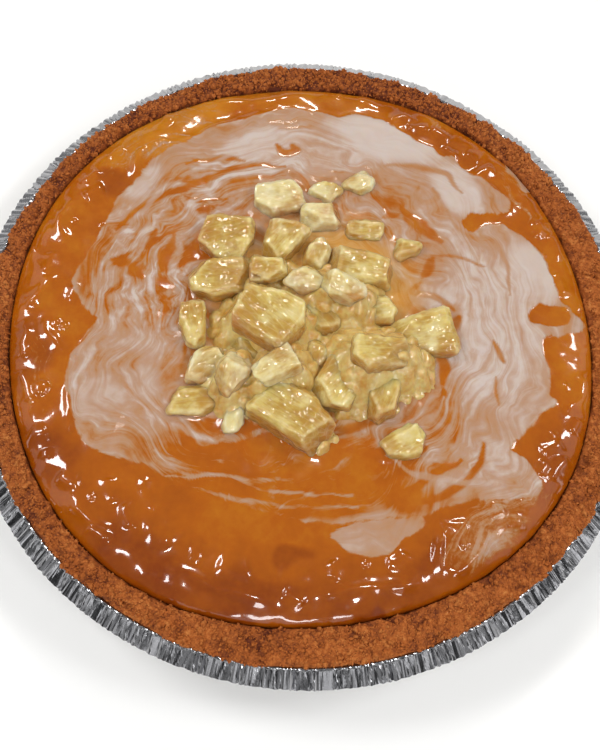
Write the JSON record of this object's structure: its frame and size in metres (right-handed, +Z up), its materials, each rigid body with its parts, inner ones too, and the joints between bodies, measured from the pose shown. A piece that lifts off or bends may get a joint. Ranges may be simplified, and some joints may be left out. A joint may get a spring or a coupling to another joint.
{
  "type": "baked cheesecake",
  "caption": "Round baked cheesecake in a crumb crust, still in its pleated foil tin, with a puffed glazed top and a loose heap of fruit chunks in the middle.",
  "frame": {"origin": "middle of the tin's flat base, on the surface that it stands on", "axes": "+Z up, square to the base; the side nearest to the picture's camera is at -Y"},
  "size_m": [0.2372, 0.2372, 0.049],
  "materials": {
    "foil": "bright crinkled foil",
    "baked_crumb": "rough baked biscuit crumb",
    "glazed_top": "baked cheese filling under a clear amber glaze",
    "soaked_fruit": "wet, pale yellow and translucent"
  },
  "bodies": {
    "root": {"foil_tin": "foil", "crumb_crust": "baked_crumb", "cheesecake": "glazed_top", "fruit_chunk_01": "soaked_fruit", "fruit_chunk_02": "soaked_fruit", "fruit_chunk_03": "soaked_fruit", "fruit_chunk_04": "soaked_fruit", "fruit_chunk_05": "soaked_fruit", "fruit_chunk_06": "soaked_fruit", "fruit_chunk_07": "soaked_fruit", "fruit_chunk_08": "soaked_fruit", "fruit_chunk_09": "soaked_fruit", "fruit_chunk_10": "soaked_fruit", "fruit_chunk_11": "soaked_fruit", "fruit_chunk_12": "soaked_fruit", "fruit_chunk_13": "soaked_fruit", "fruit_chunk_14": "soaked_fruit", "fruit_chunk_15": "soaked_fruit", "fruit_chunk_16": "soaked_fruit", "fruit_chunk_17": "soaked_fruit", "fruit_chunk_18": "soaked_fruit", "fruit_chunk_19": "soaked_fruit", "fruit_chunk_20": "soaked_fruit", "fruit_chunk_21": "soaked_fruit", "fruit_chunk_22": "soaked_fruit", "fruit_chunk_23": "soaked_fruit", "fruit_chunk_24": "soaked_fruit", "fruit_chunk_25": "soaked_fruit", "fruit_chunk_26": "soaked_fruit", "fruit_chunk_27": "soaked_fruit", "fruit_chunk_28": "soaked_fruit", "fruit_chunk_29": "soaked_fruit", "fruit_chunk_30": "soaked_fruit", "fruit_chunk_31": "soaked_fruit", "fruit_chunk_32": "soaked_fruit"}
  },
  "joints": []
}
